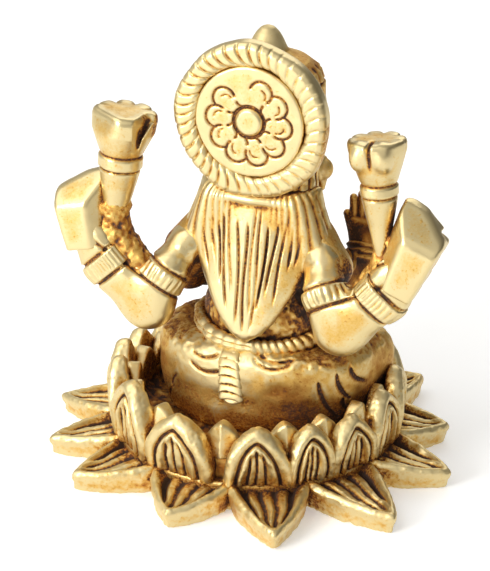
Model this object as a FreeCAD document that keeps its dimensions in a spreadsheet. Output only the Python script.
import FreeCAD, Part
import math
import os

import Sketcher
from FreeCAD import Placement, Rotation, Vector

# A small cast-brass statuette: a crowned, four-armed goddess seated cross-legged in a double lotus.
#
# Frame: millimetres, +Z up, origin on the resting surface under the middle of the lotus.
# The figure faces -Y, so its right hand is on the -X side. It sits a little to the -X side of the
# lotus's centre, as on a hand-assembled casting: FIGURE_X is that offset.
#
# How it is put together: the lotus is a base disc with a ring of thick outer petals brazed to its
# edge, and a shallow cup on top of it that carries an upright row of petals and small gap petals.
# The figure's castings are brazed to each other, and one screw from the hollow under the base
# holds the lap down in the cup.

doc = FreeCAD.newDocument("statuette")
sheet = doc.addObject("Spreadsheet::Sheet", "Dims")
values = {}
subparts = []

FIGURE_X = -1.7
ORIGIN = Vector(0, 0, 0)
UP = Vector(0, 0, 1)
ANY_LENGTH = 60.0  # longer than any piece, for cutting tools

# ---------------------------------------------------------------- driving dimensions

DIMENSIONS = {
    # lotus base and cup
    "base_radius": 24.3,
    "base_height": 5.0,
    "outer_petal_foot_height": 4.6,
    "outer_petal_tip_height": 2.9,
    "outer_petal_side_radius": 17.0,
    "cup_radius": 22.4,
    "cup_inner_radius": 20.2,
    "cup_floor_top": 7.5,
    "cup_wall_top": 9.8,
    "cup_petal_thickness": 2.8,
    "cup_petal_lean": 5.0,
    "gap_petal_thickness": 1.9,
    "gap_petal_width": 5.7,
    "gap_petal_height": 5.0,
    # fixing screw, M4 with a cheese head
    "screw_head_radius": 3.5,
    "screw_head_height": 2.4,
    "screw_shank_radius": 1.95,
    "screw_length": 15.0,
    "screw_hole_radius": 2.2,
    "screw_thread_radius": 1.97,
    "counterbore_radius": 4.2,
    "counterbore_depth": 3.2,
    # head, hair, crown and halo
    "head_half_width": 6.6,
    "head_half_depth": 7.0,
    "head_half_height": 8.6,
    "hair_half_width": 9.6,
    "hair_half_depth": 8.2,
    "hair_half_height": 11.0,
    "hair_flat_back": 5.6,
    "hair_front_edge": -2.6,
    "crown_radius": 9.8,
    "crown_top_radius": 4.0,
    "crown_low": 59.5,
    "crown_shoulder": 66.5,
    "crown_top": 70.6,
    "finial_radius": 2.9,
    "finial_top": 75.6,
    "halo_radius": 13.0,
    "halo_inner_radius": 9.1,
    "halo_ring_depth": 3.4,
    "halo_ring_round": 1.4,
    "halo_disc_depth": 2.7,
    "halo_boss_radius": 2.4,
    "halo_height": 62.0,
    "earring_radius": 1.9,
    # hair fall down the back
    "hair_fall_half_width": 11.4,
    "hair_fall_top_half_width": 10.6,
    "hair_fall_top_rise": 7.6,
    "hair_fall_length": 16.4,
    "hair_fall_tip_half_width": 1.1,
    "hair_fall_thickness": 3.2,
    "hair_fall_slope": 8.0,
    # arms
    "upper_arm_radius": 3.5,
    "elbow_radius": 4.2,
    "forearm_radius": 3.7,
    "wrist_radius": 3.9,
    "band_radius": 4.45,
    "band_width": 3.3,
    "rear_hand_width": 8.6,
    "rear_hand_depth": 6.4,
    "rear_hand_length": 11.6,
    "hand_round": 1.3,
    "front_arm_radius": 3.2,
    "front_wrist_radius": 2.7,
    "front_hand_width": 6.6,
    "front_hand_depth": 3.0,
    "front_hand_length": 10.0,
    # lotus buds held in the rear hands
    "bud_foot_radius": 0.9,
    "bud_neck_radius": 3.1,
    "bud_ring_radius": 3.7,
    "bud_top_radius": 5.6,
    "bud_neck_height": 9.6,
    "bud_ring_height": 2.4,
    "bud_cup_height": 7.0,
    "bud_dome_height": 2.4,
    # dress and ornaments
    "belt_half_width": 12.4,
    "belt_half_depth": 9.8,
    "belt_height": 2.4,
    "belt_round": 0.8,
    "back_pleat_width": 4.8,
    "back_pleat_length": 9.6,
    "back_pleat_depth": 4.0,
    "front_pleat_radius": 7.2,
    "front_pleat_depth": 3.2,
    "foot_length": 8.6,
    "foot_width": 4.6,
    "foot_depth": 4.6,
    "necklace_radius": 6.6,
    "necklace_wire_radius": 0.95,
    "pendant_radius": 1.9,
}

# Outer petals, anticlockwise seen from above: (direction of the tip in degrees, tip radius).
OUTER_PETALS = [
    (3, 36.9), (28, 36.4), (50, 35.5), (85, 33.4), (115, 37.0), (146, 38.6),
    (174, 36.5), (201, 33.5), (233, 36.0), (265, 33.7), (298, 36.0), (331, 36.4),
]
OUTER_PETAL_GAP = 0.15  # between two petals' feet, on the base disc's edge

# Upright cup petals: (first edge, last edge in degrees, apex height above the base disc).
CUP_PETALS = [
    (-17, 0, 11.5), (0, 17, 12.6), (17, 36, 13.0), (36, 62, 12.6), (64, 92, 10.6),
    (99, 123, 10.2), (123, 141, 10.0), (141, 162, 9.8), (162, 182, 11.0), (182, 203, 11.6),
    (203, 231, 11.4), (231, 259, 11.6), (259, 287, 11.4), (287, 315, 11.8), (315, 343, 11.6),
]

# Lofted masses: (height, half width, half depth, middle y) of each elliptical section.
LOFTS = {
    "lap": [
        (7.5, 14.0, 11.8, -1.4), (11.0, 17.0, 13.8, -1.8), (14.5, 18.2, 14.4, -2.2),
        (18.0, 19.8, 14.8, -2.6), (21.2, 17.4, 12.6, -2.0), (22.8, 12.6, 10.0, -0.5),
    ],
    "torso": [
        (22.8, 10.8, 8.2, -0.5), (30.0, 9.6, 7.2, -0.6), (36.0, 11.8, 7.4, -0.8),
        (40.5, 12.4, 6.6, -0.4), (44.0, 7.6, 5.0, -0.4), (50.0, 4.4, 4.2, -0.6),
    ],
}

# Joints of the four arms, from the figure's middle plane: shoulder, elbow, wrist (outward, y, z).
REAR_ARMS = {
    "left": [(12.3, 5.2, 39.6), (17.9, 9.4, 29.2), (25.6, 9.6, 36.6)],
    "right": [(12.3, 5.2, 40.2), (17.1, 9.4, 30.2), (24.6, 9.6, 37.6)],
}
REAR_HANDS = {
    "left": [(25.5, 9.6, 36.9), (29.8, 8.6, 47.4)],
    "right": [(24.6, 9.6, 37.8), (29.0, 8.6, 48.8)],
}
BUDS = {"left": [(23.4, 8.8, 39.8), (22.4, 7.6, 61.0)], "right": [(22.0, 8.8, 41.4), (20.8, 7.6, 61.8)]}
FRONT_ARMS = {
    "left": [(10.8, -1.6, 38.4), (15.4, -6.6, 28.0), (13.5, -13.6, 25.6)],
    "right": [(10.8, -1.6, 38.8), (15.6, -7.2, 28.4), (14.2, -10.8, 35.0)],
}
FRONT_HANDS = {
    "left": [(13.5, -14.4, 25.2), (13.3, -16.4, 15.6)],
    "right": [(14.2, -10.8, 34.8), (13.6, -10.0, 45.0)],
}
FOOT = [(1.0, -14.8, 21.4), (9.4, -13.8, 22.6)]  # a foot, from the middle outward

HEAD_CENTRE = Vector(FIGURE_X, -1.4, 55.6)
HAIR_CENTRE = Vector(FIGURE_X, 0.2, 56.4)


def cell(alias, value):
    """One row of the dimension sheet: the name in column A, the number in column B under that alias."""
    row = len(values) + 1
    sheet.set(f"A{row}", alias)
    sheet.set(f"B{row}", str(round(value, 4)))
    sheet.setAlias(f"B{row}", alias)
    values[alias] = value
    return alias


def bind(thing, path, expression):
    """Drives a property or a named constraint from the sheet."""
    thing.setExpression(path, expression)


def dim(alias):
    return f"Dims.{alias}"


def fill_sheet():
    for alias, value in DIMENSIONS.items():
        cell(alias, value)
    for mass, sections in LOFTS.items():
        for i, (height, half_width, half_depth, middle) in enumerate(sections, 1):
            cell(f"{mass}_section_{i}_height", height)
            cell(f"{mass}_section_{i}_half_width", half_width)
            cell(f"{mass}_section_{i}_half_depth", half_depth)
            cell(f"{mass}_section_{i}_middle", middle)
    for i, (_, tip_radius) in enumerate(OUTER_PETALS, 1):
        before, after = petal_feet(i - 1)
        cell(f"outer_petal_{i:02d}_tip_radius", tip_radius)
        cell(f"outer_petal_{i:02d}_foot_before", before)
        cell(f"outer_petal_{i:02d}_foot_after", after)
    for i, (first, last, height) in enumerate(CUP_PETALS, 1):
        chord = 2 * DIMENSIONS["cup_radius"] * math.tan(math.radians((last - first) / 2))
        cell(f"cup_petal_{i:02d}_width", min(chord, 11.4) - 0.1)
        cell(f"cup_petal_{i:02d}_height", height)
    doc.recompute()


def petal_feet(index):
    """Half widths of an outer petal's foot on the base disc, up to the middles of its two gaps."""
    angles = [angle for angle, _ in OUTER_PETALS]
    here = angles[index]
    before = (here - angles[index - 1]) % 360 / 2
    after = (angles[(index + 1) % len(angles)] - here) % 360 / 2
    reach = DIMENSIONS["base_radius"]
    return tuple(reach * math.sin(math.radians(gap)) - OUTER_PETAL_GAP / 2 for gap in (before, after))


# ---------------------------------------------------------------- small builders


def keep(thing, label):
    """Names a finished sub-part. Its label names its file."""
    thing.Label = label
    subparts.append(thing)
    return thing


def aim(start, end):
    """A placement at start whose Z axis points to end."""
    return Placement(start, Rotation(UP, end - start))


def mirrored(side, point):
    """A point given from the figure's middle plane, outward, in the frame."""
    outward, y, z = point
    return Vector(FIGURE_X + (outward if side == "left" else -outward), y, z)


def add(kind, name, placement=None, **sizes):
    """A document object whose sizes are expressions on the sheet."""
    thing = doc.addObject(kind, name)
    for path, expression in sizes.items():
        bind(thing, path, str(expression))
    if placement is not None:
        thing.Placement = placement
    return thing


def cut(name, base, tools):
    """base less every tool, one cut after the other."""
    for i, tool in enumerate(tools):
        thing = doc.addObject("Part::Cut", f"{name}_cut_{i}")
        thing.Base = base
        thing.Tool = tool
        base = thing
    return base


def fuse(name, shapes):
    thing = doc.addObject("Part::MultiFuse", name)
    thing.Shapes = shapes
    return thing


def body_of(name, placement=None):
    body = doc.addObject("PartDesign::Body", name)
    if placement is not None:
        body.Placement = placement
    return body


def sketch_on(body, role, name, offset=None):
    """A sketch on one of the body's own origin planes, moved along its normal by a sheet value."""
    sketch = body.newObject("Sketcher::SketchObject", f"{body.Name}_{name}")
    plane = next(f for f in body.Origin.OriginFeatures if f.Role == role)
    sketch.AttachmentSupport = [(plane, "")]
    sketch.MapMode = "FlatFace"
    if offset is not None:
        bind(sketch, "AttachmentOffset.Base.z", offset)
    return sketch


def outline(sketch, points):
    """A closed outline of straight lines. Every point is (x, y), each a sheet expression and its value."""
    corners = [Vector(x[1], y[1], 0) for x, y in points]
    count = len(corners)
    for i in range(count):
        sketch.addGeometry(Part.LineSegment(corners[i], corners[(i + 1) % count]), False)
    for i in range(count):
        sketch.addConstraint(Sketcher.Constraint("Coincident", i, 2, (i + 1) % count, 1))
    for i, (x, y) in enumerate(points):
        for kind, (expression, value) in (("DistanceX", x), ("DistanceY", y)):
            fixed = sketch.addConstraint(Sketcher.Constraint(kind, -1, 1, i, 1, value))
            sketch.renameConstraint(fixed, f"p{i}_{kind}")
            bind(sketch, f"Constraints.p{i}_{kind}", expression)


def measure(expression):
    """(expression, its value) for an outline point, worked out from the sheet's values."""
    return expression, float(eval_sheet(expression))


def eval_sheet(expression):
    """The value of a sum of sheet names and plain numbers, such as 'Dims.base_height - 1.5'."""
    total, sign = 0.0, 1.0
    for word in expression.replace("-", " - ").replace("+", " + ").split():
        if word in "+-":
            sign = -1.0 if word == "-" else 1.0
            continue
        factors = word.split("*")
        product = 1.0
        for factor in factors:
            product *= values[factor[5:]] if factor.startswith("Dims.") else float(factor)
        total += sign * product
        sign = 1.0
    return total


def corner(x, y):
    return measure(x), measure(y)


def revolve(body, corners, name="profile"):
    """Turns an outline in the body's XZ plane, given as (radius, height), about its Z axis."""
    sketch = sketch_on(body, "XZ_Plane", name)
    outline(sketch, corners)
    turned = body.newObject("PartDesign::Revolution", f"{body.Name}_{name}_turned")
    turned.Profile = sketch
    turned.ReferenceAxis = (sketch, ["V_Axis"])
    turned.Angle = 360
    body.Tip = turned
    return turned


# ---------------------------------------------------------------- lotus


def lotus_base():
    """The base disc, with a counterbored hole for the fixing screw in its underside."""
    body = body_of("lotus_base_body")
    revolve(body, [
        corner("Dims.counterbore_radius", "0.0"),
        corner("Dims.base_radius", "0.0"),
        corner("Dims.base_radius", "Dims.base_height"),
        corner("Dims.screw_hole_radius", "Dims.base_height"),
        corner("Dims.screw_hole_radius", "Dims.counterbore_depth"),
        corner("Dims.counterbore_radius", "Dims.counterbore_depth"),
    ])
    return keep(body, "lotus_base")


def outer_petal(index, angle):
    """A thick pointed petal. Its foot is an arc on the base disc, its sides are arcs to the tip,
    and its top slopes down from the foot to the tip."""
    number = f"{index + 1:02d}"
    reach = values["base_radius"]
    tip = values[f"outer_petal_{number}_tip_radius"]
    before = values[f"outer_petal_{number}_foot_before"]
    after = values[f"outer_petal_{number}_foot_after"]
    body = body_of(f"outer_petal_{number}_body", Placement(ORIGIN, Rotation(UP, angle)))
    sketch = sketch_on(body, "XY_Plane", "plan")
    low = Vector(math.sqrt(reach**2 - before**2), -before, 0)
    high = Vector(math.sqrt(reach**2 - after**2), after, 0)
    point = Vector(tip, 0, 0)
    foot = Part.ArcOfCircle(
        Part.Circle(ORIGIN, UP, reach), -math.asin(before / reach), math.asin(after / reach)
    )
    sketch.addGeometry(foot, False)
    sketch.addGeometry(Part.Arc(low, bulge(low, point, -1), point), False)
    sketch.addGeometry(Part.Arc(point, bulge(point, high, -1), high), False)
    for one, end, two, start in ((0, 1, 1, 1), (1, 2, 2, 1), (2, 2, 0, 2)):
        sketch.addConstraint(Sketcher.Constraint("Coincident", one, end, two, start))
    sketch.addConstraint(Sketcher.Constraint("Coincident", 0, 3, -1, 1))
    named = [
        ("foot_radius", Sketcher.Constraint("Radius", 0, reach), "Dims.base_radius"),
        ("before", Sketcher.Constraint("DistanceY", 0, 1, -1, 1, before),
         f"Dims.outer_petal_{number}_foot_before"),
        ("after", Sketcher.Constraint("DistanceY", -1, 1, 0, 2, after),
         f"Dims.outer_petal_{number}_foot_after"),
        ("tip_out", Sketcher.Constraint("DistanceX", -1, 1, 1, 2, tip),
         f"Dims.outer_petal_{number}_tip_radius"),
        ("side_one", Sketcher.Constraint("Radius", 1, values["outer_petal_side_radius"]),
         "Dims.outer_petal_side_radius"),
        ("side_two", Sketcher.Constraint("Radius", 2, values["outer_petal_side_radius"]),
         "Dims.outer_petal_side_radius"),
    ]
    sketch.addConstraint(Sketcher.Constraint("PointOnObject", 1, 2, -1))
    for name, constraint, expression in named:
        fixed = sketch.addConstraint(constraint)
        sketch.renameConstraint(fixed, name)
        bind(sketch, f"Constraints.{name}", expression)
    pad = body.newObject("PartDesign::Pad", f"{body.Name}_pad")
    pad.Profile = sketch
    bind(pad, "Length", "Dims.outer_petal_foot_height")
    slope = sketch_on(body, "XZ_Plane", "slope")
    outline(slope, [
        corner("Dims.base_radius - 3.0", "Dims.outer_petal_foot_height"),
        corner(f"Dims.outer_petal_{number}_tip_radius", "Dims.outer_petal_tip_height"),
        corner(f"Dims.outer_petal_{number}_tip_radius + 2.0", "Dims.outer_petal_foot_height + 2.0"),
        corner("Dims.base_radius - 3.0", "Dims.outer_petal_foot_height + 2.0"),
    ])
    pocket = body.newObject("PartDesign::Pocket", f"{body.Name}_slope_cut")
    pocket.Profile = slope
    pocket.Midplane = True
    pocket.Length = ANY_LENGTH
    body.Tip = pocket
    return keep(body, f"outer_petal_{number}")


def bulge(start, end, turn):
    """The middle of an arc from start to end with the petals' side radius, on one side of its chord."""
    chord = end - start
    radius = values["outer_petal_side_radius"]
    rise = radius - math.sqrt(radius**2 - (chord.Length / 2) ** 2)
    side = Vector(-chord.y, chord.x, 0).normalize() * turn
    return start + chord * 0.5 + side * rise


def lotus_cup():
    """The shallow cup on the base disc: a floor for the figure and a low wall for the petals."""
    body = body_of("lotus_cup_body")
    revolve(body, [
        corner("Dims.screw_hole_radius", "Dims.base_height"),
        corner("Dims.cup_radius", "Dims.base_height"),
        corner("Dims.cup_radius", "Dims.cup_wall_top"),
        corner("Dims.cup_inner_radius", "Dims.cup_wall_top"),
        corner("Dims.cup_inner_radius", "Dims.cup_floor_top"),
        corner("Dims.screw_hole_radius", "Dims.cup_floor_top"),
    ])
    return keep(body, "lotus_cup")


def arch(sketch, width, height, spring):
    """A pointed arch on the sketch's X axis. Its sides rise straight to the spring line, and two
    arcs that start in line with them meet at the apex. The three sizes are sheet expressions."""
    w, top, low = (eval_sheet(e) for e in (width, height, spring))
    half = w / 2
    radius = (half**2 + (top - low) ** 2) / w
    left, right, apex = Vector(-half, low, 0), Vector(half, low, 0), Vector(0, top, 0)
    turn = math.atan2(top - low, radius - half) / 2
    right_middle = Vector(half - radius + radius * math.cos(turn), low + radius * math.sin(turn), 0)
    left_middle = Vector(-right_middle.x, right_middle.y, 0)
    sketch.addGeometry(Part.LineSegment(Vector(-half, 0, 0), Vector(half, 0, 0)), False)
    sketch.addGeometry(Part.LineSegment(Vector(half, 0, 0), right), False)
    sketch.addGeometry(Part.Arc(right, right_middle, apex), False)
    sketch.addGeometry(Part.Arc(apex, left_middle, left), False)
    sketch.addGeometry(Part.LineSegment(left, Vector(-half, 0, 0)), False)
    joints = ((0, 2, 1, 1), (1, 2, 2, 1), (2, 2, 3, 1), (3, 2, 4, 1), (4, 2, 0, 1))
    for one, end, two, start in joints:
        sketch.addConstraint(Sketcher.Constraint("Coincident", one, end, two, start))
    named = [
        ("foot_left", Sketcher.Constraint("DistanceX", 0, 1, -1, 1, half), f"{width} / 2"),
        ("foot_right", Sketcher.Constraint("DistanceX", -1, 1, 0, 2, half), f"{width} / 2"),
        ("spring_right", Sketcher.Constraint("DistanceY", -1, 1, 1, 2, low), spring),
        ("spring_left", Sketcher.Constraint("DistanceY", -1, 1, 4, 1, low), spring),
        ("apex_up", Sketcher.Constraint("DistanceY", -1, 1, 2, 2, top), height),
    ]
    sketch.addConstraint(Sketcher.Constraint("PointOnObject", 0, 1, -1))
    sketch.addConstraint(Sketcher.Constraint("Horizontal", 0))
    sketch.addConstraint(Sketcher.Constraint("Vertical", 1))
    sketch.addConstraint(Sketcher.Constraint("Vertical", 4))
    sketch.addConstraint(Sketcher.Constraint("PointOnObject", 2, 2, -2))
    sketch.addConstraint(Sketcher.Constraint("Radius", 2, radius))
    sketch.addConstraint(Sketcher.Constraint("Radius", 3, radius))
    for name, constraint, expression in named:
        fixed = sketch.addConstraint(constraint)
        sketch.renameConstraint(fixed, name)
        bind(sketch, f"Constraints.{name}", expression)


def cup_petal(index, first, last):
    """An upright petal standing on the base disc against the cup's wall, leaning outward."""
    number = f"{index + 1:02d}"
    turn = Rotation(UP, (first + last) / 2)
    stand = turn.multVec(Vector(values["cup_radius"], 0, values["base_height"]))
    lean = Rotation(Vector(0, 1, 0), values["cup_petal_lean"])
    body = body_of(f"cup_petal_{number}_body", Placement(stand, turn * lean))
    sketch = sketch_on(body, "YZ_Plane", "arch")
    height = f"Dims.cup_petal_{number}_height"
    arch(sketch, f"Dims.cup_petal_{number}_width", height, f"0.3*{height}")
    pad = body.newObject("PartDesign::Pad", f"{body.Name}_pad")
    pad.Profile = sketch
    bind(pad, "Length", "Dims.cup_petal_thickness")
    body.Tip = pad
    doc.recompute()
    return clear_of_base(body, f"cup_petal_{number}")


def clear_of_base(body, label):
    """Trims what leans below the base disc's top or into the cup's wall."""
    trimmed = cut(label, body, [slab_tool, wall_tool])
    return keep(trimmed, label)


def gap_petals():
    """Small petals on top of the cup's wall, seen between the big ones."""
    pieces = []
    for i, (first, _, _) in enumerate(CUP_PETALS):
        previous = CUP_PETALS[i - 1][1] - (360 if i == 0 else 0)
        angle = (first + previous) / 2
        sketch = doc.addObject("Sketcher::SketchObject", f"gap_petal_{i + 1:02d}_arch")
        arch(sketch, "Dims.gap_petal_width", "Dims.gap_petal_height", "0.25*Dims.gap_petal_height")
        plate = doc.addObject("Part::Extrusion", f"gap_petal_{i + 1:02d}")
        plate.Base = sketch
        plate.DirMode = "Normal"
        plate.Solid = True
        bind(plate, "LengthFwd", "Dims.gap_petal_thickness")
        turn = Rotation(UP, angle)
        upright = Rotation(Vector(1, 0, 0), 90)  # sketch Y becomes Z, its normal becomes -Y
        face_out = Rotation(UP, 90)
        stand = turn.multVec(Vector(values["cup_inner_radius"] + 0.1, 0, values["cup_wall_top"]))
        sketch.Placement = Placement(stand, turn * face_out * upright)
        pieces.append(plate)
    group = doc.addObject("Part::Compound", "gap_petals_group")
    group.Links = pieces
    return keep(group, "gap_petals")


def fixing_screw():
    """The screw that holds the lap down, from the counterbore up into the lap."""
    body = body_of("fixing_screw_body")
    low = "Dims.counterbore_depth - Dims.screw_head_height"
    revolve(body, [
        corner("0.0", low),
        corner("Dims.screw_head_radius", low),
        corner("Dims.screw_head_radius", "Dims.counterbore_depth"),
        corner("Dims.screw_shank_radius", "Dims.counterbore_depth"),
        corner("Dims.screw_shank_radius", "Dims.screw_length"),
        corner("0.0", "Dims.screw_length"),
    ])
    return keep(body, "fixing_screw")


# ---------------------------------------------------------------- figure


def loft(mass):
    """A smooth mass through elliptical sections, one above the other."""
    rings = []
    for i, (height, half_width, half_depth, middle) in enumerate(LOFTS[mass], 1):
        ring = add(
            "Part::Ellipse", f"{mass}_section_{i}",
            Placement(Vector(FIGURE_X, middle, height), Rotation()),
            MajorRadius=dim(f"{mass}_section_{i}_half_width"),
            MinorRadius=dim(f"{mass}_section_{i}_half_depth"),
        )
        bind(ring, "Placement.Base.y", dim(f"{mass}_section_{i}_middle"))
        bind(ring, "Placement.Base.z", dim(f"{mass}_section_{i}_height"))
        rings.append(ring)
    thing = doc.addObject("Part::Loft", f"{mass}_loft")
    thing.Sections = rings
    thing.Solid = True
    return thing


def limb(name, points, radii):
    """A bent limb: cones between its joints and a ball at the bend."""
    ends = zip(points, points[1:], radii, radii[1:])
    pieces = []
    for i, (start, end, one, two) in enumerate(ends):
        length = cell(f"{name}_{('upper', 'lower')[i]}_length", (end - start).Length)
        pieces.append(add(
            "Part::Cone", f"{name}_cone_{i}", aim(start, end),
            Radius1=dim(one), Radius2=dim(two), Height=dim(length),
        ))
    ball = add("Part::Sphere", f"{name}_bend", Placement(points[1], Rotation()), Radius=dim(radii[1]))
    return fuse(f"{name}_limb", [*pieces, ball])


def band(name, start, end, share):
    """A ring round a limb, centred at a share of the way from start to end."""
    middle = start + (end - start) * share
    low = middle - (end - start).normalize() * (values["band_width"] / 2)
    return add("Part::Cylinder", f"{name}_ring", aim(low, end), Radius=dim("band_radius"), Height=dim("band_width"))


def rounded_block(name, points, sizes):
    """A hand or a foot: a block with rounded edges, along the line through two points."""
    start, end = points
    width, depth, length = sizes
    to_corner = Placement(Vector(-values[width] / 2, -values[depth] / 2, 0), Rotation())
    block = add("Part::Box", f"{name}_block", aim(start, end) * to_corner,
                Length=dim(width), Width=dim(depth), Height=dim(length))
    doc.recompute()
    soft = doc.addObject("Part::Fillet", f"{name}_rounded")
    soft.Base = block
    soft.Edges = [(i, values["hand_round"], values["hand_round"]) for i in range(1, 13)]
    return soft


def lotus_bud(side):
    """A lotus bud on its stalk: a cone up to a ring, then a flaring flower with a domed top."""
    start, end = (mirrored(side, p) for p in BUDS[side])
    body = body_of(f"lotus_bud_{side}_body", aim(start, end))
    ring = "Dims.bud_neck_height + Dims.bud_ring_height"
    revolve(body, [
        corner("0.0", "0.0"),
        corner("Dims.bud_foot_radius", "0.0"),
        corner("Dims.bud_neck_radius", "Dims.bud_neck_height"),
        corner("Dims.bud_ring_radius", "Dims.bud_neck_height + 0.6"),
        corner("Dims.bud_ring_radius", f"{ring} - 0.6"),
        corner("Dims.bud_neck_radius", ring),
        corner("Dims.bud_top_radius", f"{ring} + Dims.bud_cup_height"),
        corner("Dims.bud_top_radius - 1.8", f"{ring} + Dims.bud_cup_height + Dims.bud_dome_height"),
        corner("0.0", f"{ring} + Dims.bud_cup_height + Dims.bud_dome_height"),
    ])
    return keep(body, f"lotus_bud_{side}")


def head():
    ball = add(
        "Part::Ellipsoid", "head_shape", Placement(HEAD_CENTRE, Rotation()),
        Radius1=dim("head_half_height"), Radius2=dim("head_half_width"), Radius3=dim("head_half_depth"),
    )
    ball.Angle1, ball.Angle2, ball.Angle3 = -90, 90, 360
    return keep(ball, "head")


def hair_cap(face, torso):
    """The hair round the head, open at the face and flat where the halo is brazed on."""
    mass = add(
        "Part::Ellipsoid", "hair_shape", Placement(HAIR_CENTRE, Rotation()),
        Radius1=dim("hair_half_height"), Radius2=dim("hair_half_width"), Radius3=dim("hair_half_depth"),
    )
    mass.Angle1, mass.Angle2, mass.Angle3 = -90, 90, 360
    half = ANY_LENGTH / 2
    front = add("Part::Box", "hair_front_tool")
    front.Length = front.Width = front.Height = ANY_LENGTH
    front.Placement = Placement(
        Vector(FIGURE_X - half, values["hair_front_edge"] - ANY_LENGTH, HAIR_CENTRE.z - half), Rotation())
    back = add("Part::Box", "hair_back_tool")
    back.Length = back.Width = back.Height = ANY_LENGTH
    back.Placement = Placement(
        Vector(FIGURE_X - half, values["hair_flat_back"], HAIR_CENTRE.z - half), Rotation())
    return keep(cut("hair_cap", mass, [front, back, face, torso]), "hair_cap")


def crown(face, hair):
    """The domed crown with its finial knob."""
    body = body_of("crown_body", Placement(Vector(FIGURE_X, 0, 0), Rotation()))
    revolve(body, [
        corner("0.0", "Dims.crown_low"),
        corner("Dims.crown_radius", "Dims.crown_low"),
        corner("Dims.crown_radius - 1.6", "Dims.crown_shoulder"),
        corner("Dims.crown_top_radius", "Dims.crown_top - 0.6"),
        corner("Dims.finial_radius - 0.8", "Dims.crown_top"),
        corner("Dims.finial_radius", "Dims.crown_top + 1.8"),
        corner("Dims.finial_radius - 1.2", "Dims.finial_top - 0.8"),
        corner("0.0", "Dims.finial_top"),
    ])
    back = add("Part::Box", "crown_back_tool")
    back.Length = back.Width = back.Height = ANY_LENGTH
    back.Placement = Placement(
        Vector(FIGURE_X - ANY_LENGTH / 2, values["hair_flat_back"], values["crown_low"] - 2), Rotation())
    return keep(cut("crown", body, [face, hair, back]), "crown")


def halo():
    """The halo behind the head: a rounded rim and an inner disc with a raised boss."""
    turn = Rotation(Vector(1, 0, 0), -90)  # the body's Z axis points backward, along +Y
    place = Placement(Vector(FIGURE_X, values["hair_flat_back"], values["halo_height"]), turn)
    rim = body_of("halo_ring_body", place)
    revolve(rim, [
        corner("Dims.halo_inner_radius", "0.0"),
        corner("Dims.halo_radius - 0.8", "0.0"),
        corner("Dims.halo_radius", "Dims.halo_ring_round"),
        corner("Dims.halo_radius", "Dims.halo_ring_depth - Dims.halo_ring_round"),
        corner("Dims.halo_radius - 1.2", "Dims.halo_ring_depth"),
        corner("Dims.halo_inner_radius + 0.8", "Dims.halo_ring_depth"),
        corner("Dims.halo_inner_radius", "Dims.halo_ring_depth - 0.6"),
    ])
    disc = body_of("halo_disc_body", place)
    revolve(disc, [
        corner("0.0", "0.0"),
        corner("Dims.halo_inner_radius", "0.0"),
        corner("Dims.halo_inner_radius", "Dims.halo_disc_depth - 0.4"),
        corner("Dims.halo_inner_radius - 0.5", "Dims.halo_disc_depth"),
        corner("Dims.halo_boss_radius + 0.6", "Dims.halo_disc_depth"),
        corner("Dims.halo_boss_radius + 0.3", "Dims.halo_disc_depth - 0.6"),
        corner("Dims.halo_boss_radius", "Dims.halo_disc_depth - 0.6"),
        corner("Dims.halo_boss_radius", "Dims.halo_disc_depth + 0.2"),
        corner("0.0", "Dims.halo_disc_depth + 0.4"),
    ])
    return keep(rim, "halo_ring"), keep(disc, "halo_disc")


def hair_fall(neighbours):
    """The long hair down the back: a kite-shaped slab that slopes out to its tip."""
    slope = Rotation(Vector(1, 0, 0), values["hair_fall_slope"])
    body = body_of("hair_fall_body", Placement(Vector(FIGURE_X, 9.3, 41.2), slope))
    sketch = sketch_on(body, "XZ_Plane", "kite")
    outline(sketch, [
        corner("-1.0*Dims.hair_fall_top_half_width", "Dims.hair_fall_top_rise"),
        corner("-1.0*Dims.hair_fall_half_width", "0.0"),
        corner("-1.0*Dims.hair_fall_tip_half_width", "-1.0*Dims.hair_fall_length"),
        corner("Dims.hair_fall_tip_half_width", "-1.0*Dims.hair_fall_length"),
        corner("Dims.hair_fall_half_width", "0.0"),
        corner("Dims.hair_fall_top_half_width", "Dims.hair_fall_top_rise"),
    ])
    pad = body.newObject("PartDesign::Pad", "hair_fall_pad")
    pad.Profile = sketch
    bind(pad, "Length", "Dims.hair_fall_thickness")  # the XZ plane's normal is -Y: towards the back of the torso
    body.Tip = pad
    return keep(cut("hair_fall", body, neighbours), "hair_fall")


def waist_belt(torso):
    """A rounded band round the waist, resting on the lap."""
    outer = add(
        "Part::Ellipse", "waist_belt_outline",
        Placement(Vector(FIGURE_X, LOFTS["lap"][-1][3], LOFTS["lap"][-1][0]), Rotation()),
        MajorRadius=dim("belt_half_width"), MinorRadius=dim("belt_half_depth"),
    )
    slab = doc.addObject("Part::Extrusion", "waist_belt_slab")
    slab.Base = outer
    slab.Dir = UP
    slab.DirMode = "Custom"
    slab.Solid = True
    bind(slab, "LengthFwd", dim("belt_height"))
    doc.recompute()
    rims = [i for i, edge in enumerate(slab.Shape.Edges, 1) if edge.isClosed()]
    soft = doc.addObject("Part::Fillet", "waist_belt_rounded")
    soft.Base = slab
    soft.Edges = [(i, values["belt_round"], values["belt_round"]) for i in rims]
    return keep(cut("waist_belt", soft, [torso]), "waist_belt")


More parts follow.
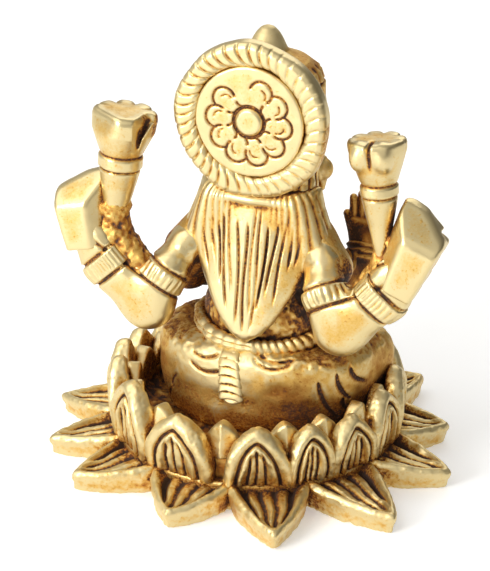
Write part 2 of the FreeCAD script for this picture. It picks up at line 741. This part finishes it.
def dress(lap, belt):
    """The pleat down the back, the fan of pleats in front and the two feet."""
    back = add(
        "Part::Box", "back_pleat_block",
        Placement(Vector(FIGURE_X + 2.2 - values["back_pleat_width"] / 2, 10.2, 12.4), Rotation(Vector(1, 0, 0), 14)),
        Length=dim("back_pleat_width"), Width=dim("back_pleat_depth"), Height=dim("back_pleat_length"),
    )
    keep(cut("back_pleat", back, [lap, belt]), "back_pleat")
    fan = add(
        "Part::Cylinder", "front_pleat_fan",
        Placement(Vector(FIGURE_X, -15.4, 17.4), Rotation(Vector(1, 0, 0), 90)),
        Radius=dim("front_pleat_radius"), Height=dim("front_pleat_depth"), Angle="110",
    )
    fan.Placement = fan.Placement * Placement(ORIGIN, Rotation(UP, -145))
    feet = []
    for side in ("left", "right"):
        foot = rounded_block(f"foot_{side}", [mirrored(side, p) for p in FOOT],
                             ["foot_width", "foot_depth", "foot_length"])
        feet.append(cut(f"foot_{side}", foot, [lap]))
    pair = doc.addObject("Part::Compound", "feet_pair")
    pair.Links = feet
    keep(cut("sari_pleats", fan, [lap, *feet]), "sari_pleats")
    return keep(pair, "feet")


def ornaments(torso, face, hair):
    """The necklace with its pendant, and the pair of earrings."""
    wire = add(
        "Part::Torus", "necklace_wire",
        Placement(Vector(FIGURE_X, -3.0, 44.0), Rotation(Vector(1, 0, 0), 38)),
        Radius1=dim("necklace_radius"), Radius2=dim("necklace_wire_radius"),
    )
    drop = add("Part::Sphere", "pendant", Placement(Vector(FIGURE_X, -8.8, 38.4), Rotation()),
               Radius=dim("pendant_radius"))
    chain = fuse("necklace_and_pendant", [wire, drop])
    back = add("Part::Box", "necklace_back_tool")
    back.Length = back.Width = back.Height = ANY_LENGTH
    back.Placement = Placement(Vector(FIGURE_X - ANY_LENGTH / 2, -1.0, 20), Rotation())
    keep(cut("necklace", chain, [torso, face, hair, back]), "necklace")
    pieces = []
    for side in ("left", "right"):
        ball = add("Part::Sphere", f"earring_{side}", Placement(mirrored(side, (8.6, -2.4, 51.4)), Rotation()),
                   Radius=dim("earring_radius"))
        pieces.append(cut(f"earring_{side}", ball, [face, hair]))
    pair = doc.addObject("Part::Compound", "earring_pair")
    pair.Links = pieces
    return keep(pair, "earrings")


def rear_arm(side, torso, fall):
    """One of the two rear arms with its armlet, bracelet, hand and lotus bud."""
    shoulder, elbow, wrist = (mirrored(side, p) for p in REAR_ARMS[side])
    shape = limb(f"rear_arm_{side}", [shoulder, elbow, wrist], ["upper_arm_radius", "elbow_radius", "wrist_radius"])
    arm = keep(cut(f"rear_arm_{side}", shape, [torso, fall]), f"rear_arm_{side}")
    armlet = band(f"armlet_{side}", shoulder, elbow, 0.42)
    keep(cut(f"armlet_{side}", armlet, [shape, torso, fall]), f"armlet_{side}")
    bracelet = band(f"bracelet_{side}", elbow, wrist, 0.78)
    bracelet = keep(cut(f"bracelet_{side}", bracelet, [shape]), f"bracelet_{side}")
    bud = lotus_bud(side)
    hand = rounded_block(f"rear_hand_{side}", [mirrored(side, p) for p in REAR_HANDS[side]],
                        ["rear_hand_width", "rear_hand_depth", "rear_hand_length"])
    keep(cut(f"rear_hand_{side}", hand, [shape, bracelet, bud]), f"rear_hand_{side}")
    return arm


def front_arm(side, torso, rear):
    """One of the two front arms with its hand: the right one raised, the left one on the knee."""
    shoulder, elbow, wrist = (mirrored(side, p) for p in FRONT_ARMS[side])
    shape = limb(f"front_arm_{side}", [shoulder, elbow, wrist],
                 ["front_arm_radius", "front_arm_radius", "front_wrist_radius"])
    arm = keep(cut(f"front_arm_{side}", shape, [torso, rear, lap_shape]), f"front_arm_{side}")
    hand = rounded_block(f"front_hand_{side}", [mirrored(side, p) for p in FRONT_HANDS[side]],
                        ["front_hand_width", "front_hand_depth", "front_hand_length"])
    keep(cut(f"front_hand_{side}", hand, [shape, lap_shape]), f"front_hand_{side}")
    return arm


# ---------------------------------------------------------------- assembly

fill_sheet()

slab_tool = add("Part::Cylinder", "slab_tool", Radius="60", Height="Dims.base_height")
wall_tool = add("Part::Cylinder", "wall_tool", Radius="Dims.cup_radius", Height="Dims.cup_wall_top")

lotus_base()
for number, (direction, _) in enumerate(OUTER_PETALS):
    outer_petal(number, direction)
lotus_cup()
for number, (edge_one, edge_two, _) in enumerate(CUP_PETALS):
    cup_petal(number, edge_one, edge_two)
gap_petals()
fixing_screw()

thread_tool = add("Part::Cylinder", "thread_tool", Radius="Dims.screw_thread_radius", Height="Dims.screw_length + 0.5")
lap_shape = keep(cut("lap", loft("lap"), [thread_tool]), "lap")
face_shape = head()
torso_shape = keep(cut("torso", loft("torso"), [face_shape]), "torso")
hair_shape = hair_cap(face_shape, torso_shape)
crown(face_shape, hair_shape)
rim_shape, _ = halo()
belt_shape = waist_belt(torso_shape)
fall_shape = hair_fall([torso_shape, hair_shape, rim_shape, belt_shape])
dress(lap_shape, belt_shape)
ornaments(torso_shape, face_shape, hair_shape)
for hand_side in ("left", "right"):
    rear = rear_arm(hand_side, torso_shape, fall_shape)
    front_arm(hand_side, torso_shape, rear)

doc.recompute()

# ---------------------------------------------------------------- checks and files

for thing in doc.Objects:
    if {"Invalid", "Error"} & set(thing.State):
        raise RuntimeError(f"{thing.Name} ({thing.Label}) failed: {thing.State}")
for part in subparts:
    if part.Shape.isNull() or not part.Shape.isValid() or part.Shape.Volume <= 0:
        raise RuntimeError(f"{part.Label} has no valid solid")
    solids = len(part.Shape.Solids)
    print(f"{part.Label:18s} {solids} solid(s) {part.Shape.Volume:9.1f} mm3")

os.makedirs("parts", exist_ok=True)
for part in subparts:
    part.Shape.exportStep(os.path.join("parts", f"{part.Label}.step"))
print(len(subparts), "sub-parts")
